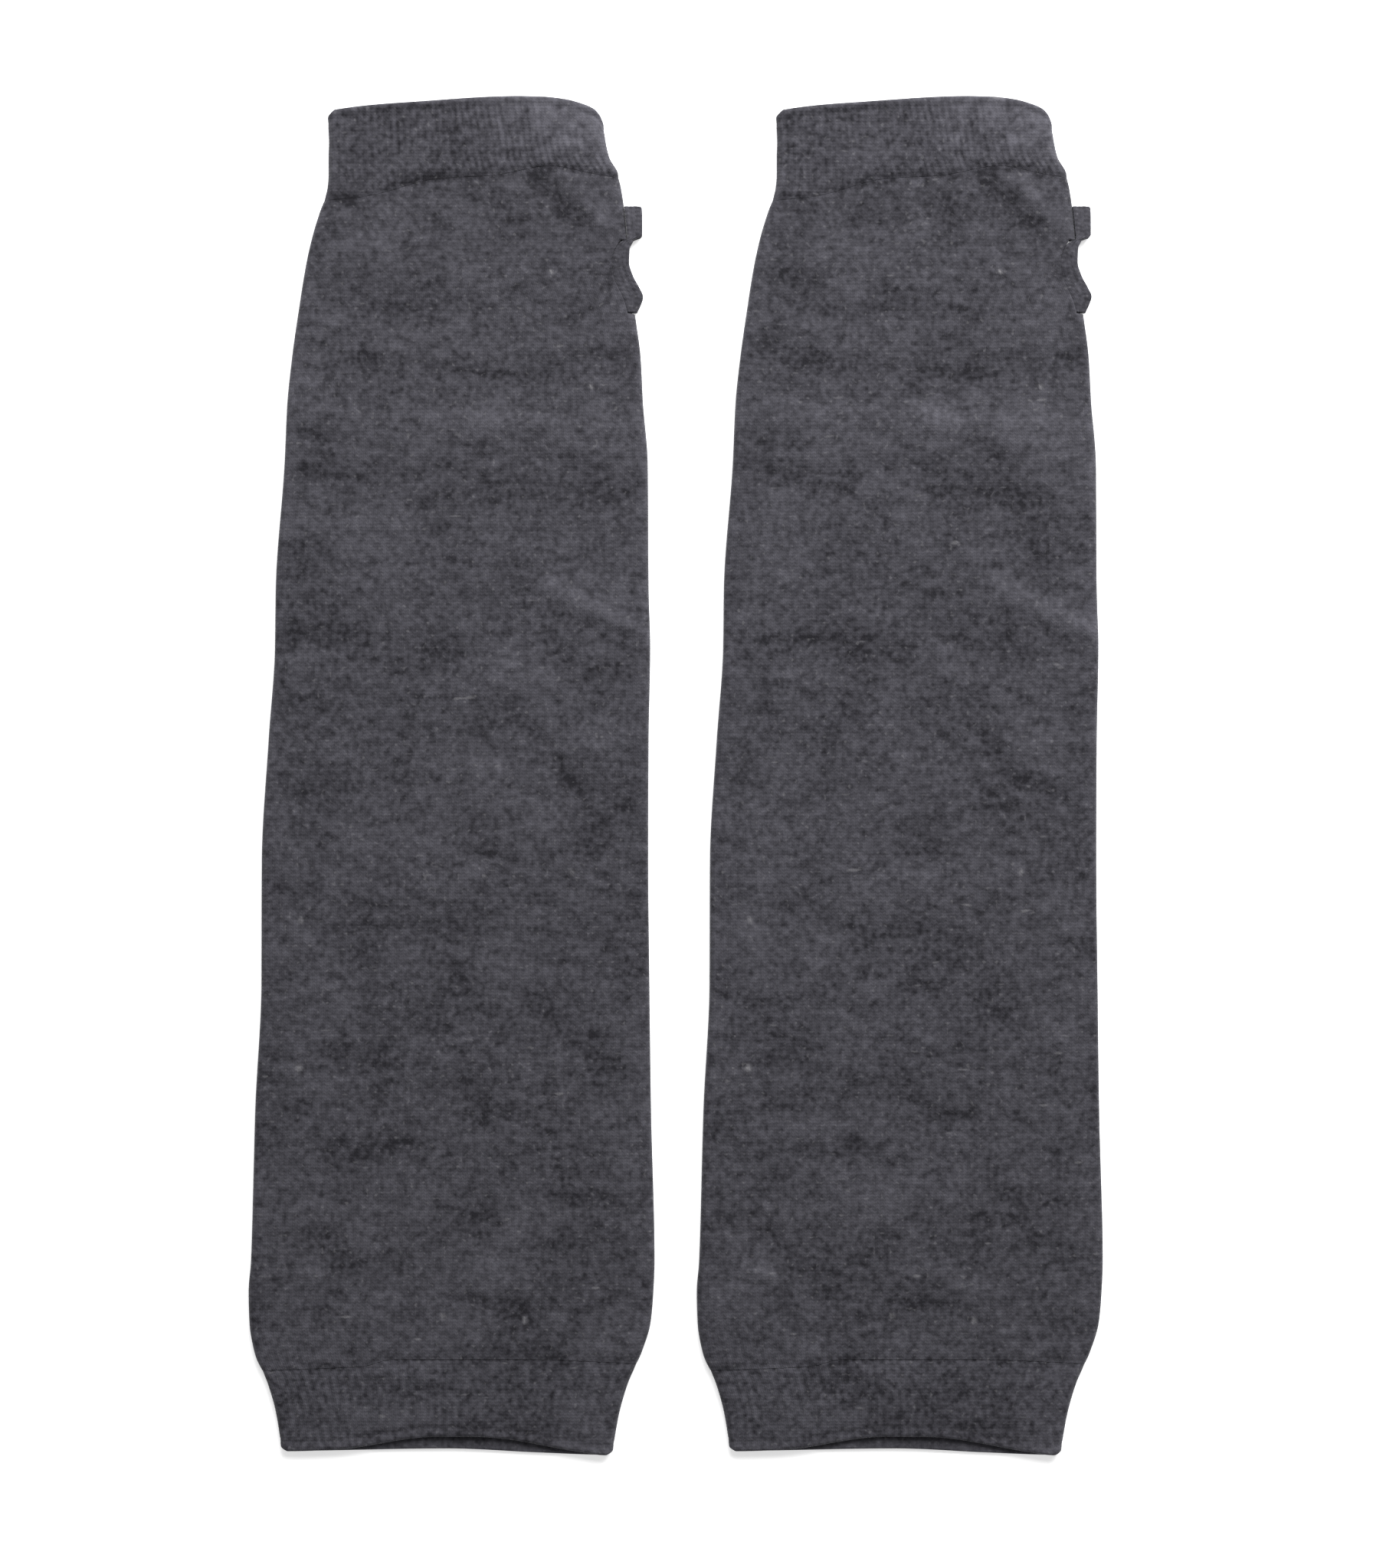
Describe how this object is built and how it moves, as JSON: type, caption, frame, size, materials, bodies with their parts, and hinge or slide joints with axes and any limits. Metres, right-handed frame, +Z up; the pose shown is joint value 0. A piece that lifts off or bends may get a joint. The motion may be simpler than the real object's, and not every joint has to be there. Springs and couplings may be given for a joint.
{
  "type": "pair of knitted arm warmers, laid flat",
  "caption": "Fingerless knitted arm warmers lying flat side by side: tapered tube sleeves between ribbed cuffs, each with an edged thumb opening in its side fold.",
  "frame": {"origin": "on the ground, under the middle of the box round the pair", "axes": "+Y along the sleeves towards the hand ends, +X across the pair towards the thumb openings' side, +Z up out of the ground that the pair lies on"},
  "size_m": [0.2136, 0.34, 0.004],
  "materials": {
    "sleeve_knit": "fine plain knit of charcoal heather yarn, matt with a slight fuzz",
    "cuff_rib": "fine one-by-one rib of the same charcoal heather yarn, matt",
    "edging_knit": "narrow knitted band of the same yarn, matt"
  },
  "bodies": {
    "root": {"left_hand_cuff": "cuff_rib", "left_sleeve": "sleeve_knit", "left_arm_cuff": "cuff_rib", "left_thumb_edging": "edging_knit", "right_hand_cuff": "cuff_rib", "right_sleeve": "sleeve_knit", "right_arm_cuff": "cuff_rib", "right_thumb_edging": "edging_knit"}
  },
  "joints": []
}
